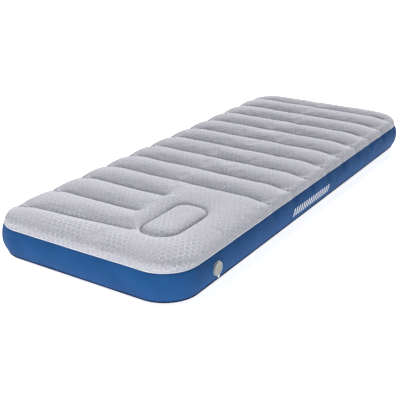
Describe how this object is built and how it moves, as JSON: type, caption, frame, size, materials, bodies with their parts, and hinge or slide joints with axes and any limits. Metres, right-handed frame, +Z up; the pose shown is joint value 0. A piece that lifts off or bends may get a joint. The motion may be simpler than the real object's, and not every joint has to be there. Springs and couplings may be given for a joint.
{
  "type": "air mattress",
  "caption": "Single inflatable air mattress with welded cross channels, a built-in foot pump pad in one corner and a screw valve in the side.",
  "frame": {"origin": "on the floor, under the middle of the bed", "axes": "+Y from the foot end (pump) to the head end, +X towards the valve side, +Z up"},
  "size_m": [0.855, 2.1, 0.18],
  "materials": {
    "flocked_top": "matt heather grey laminated fabric with a honeycomb print",
    "band_fabric": "matt blue laminated fabric",
    "base_vinyl": "satin dark blue vinyl",
    "seam_white": "welded seam edge",
    "inner_vinyl": "thin translucent grey vinyl",
    "foam": "open-cell foam",
    "valve_plastic": "soft moulded vinyl",
    "cap_plastic": "soft moulded vinyl, light grey",
    "silicone": "clear grey silicone"
  },
  "bodies": {
    "mattress": {"top_sheet": "flocked_top", "side_band": "band_fabric", "bottom_sheet": "base_vinyl", "upper_seam": "seam_white", "lower_seam": "base_vinyl", "cross_beam_01": "inner_vinyl", "cross_beam_02": "inner_vinyl", "cross_beam_03": "inner_vinyl", "cross_beam_04": "inner_vinyl", "cross_beam_05": "inner_vinyl", "cross_beam_06": "inner_vinyl", "cross_beam_07": "inner_vinyl", "cross_beam_08": "inner_vinyl", "cross_beam_09": "inner_vinyl", "cross_beam_10": "inner_vinyl", "cross_beam_11": "inner_vinyl", "cross_beam_12": "inner_vinyl", "pump_chamber_wall": "inner_vinyl", "pump_gusset": "inner_vinyl", "pump_foam": "foam", "delivery_valve_seat": "valve_plastic", "intake_duct": "inner_vinyl", "duct_collar": "inner_vinyl", "valve_body": "valve_plastic", "valve_backing_ring": "valve_plastic", "valve_thread_ring": "valve_plastic"},
    "pad": {"pump_pad": "flocked_top"},
    "delivery_flap": {"delivery_flap": "silicone"},
    "seal_ring": {"plug_o_ring": "silicone"},
    "plug": {"valve_plug": "valve_plastic", "nozzle_seat": "silicone", "cap_strap": "cap_plastic"},
    "intake_flap": {"intake_flap": "silicone"},
    "cap": {"valve_cap": "cap_plastic"}
  },
  "joints": [
    {"name": "pad_press", "type": "slide", "parent": "mattress", "child": "pad", "axis": [0, 0, -1], "range_m": [0, 0.07], "stiffness_N_per_m": 3000, "springref_m": -0.002, "deforming": ["pump_foam", "pump_gusset"]},
    {"name": "delivery_flap_swing", "type": "hinge", "parent": "mattress", "child": "delivery_flap", "pos_m": [0.1125, -0.701, 0.0715], "axis": [0, 1, 0], "range_deg": [0, 40]},
    {"name": "plug_lift", "type": "slide", "parent": "mattress", "child": "seal_ring", "axis": [1, 0, 0], "range_m": [0, 0.012]},
    {"name": "plug_turn", "type": "hinge", "parent": "seal_ring", "child": "plug", "pos_m": [0.4206, -0.807, 0.078], "axis": [1, 0, 0], "range_deg": [0, 720]},
    {"name": "intake_flap_swing", "type": "hinge", "parent": "plug", "child": "intake_flap", "pos_m": [0.4145, -0.807, 0.09], "axis": [0, 1, 0], "range_deg": [0, 40]},
    {"name": "cap_open", "type": "hinge", "parent": "plug", "child": "cap", "pos_m": [0.4277, -0.807, 0.1065], "axis": [0, -1, 0], "range_deg": [0, 120]}
  ],
  "couplings": [
    {"joint": "plug_lift", "follows": "plug_turn", "m_per_rad": 0.00095493}
  ]
}
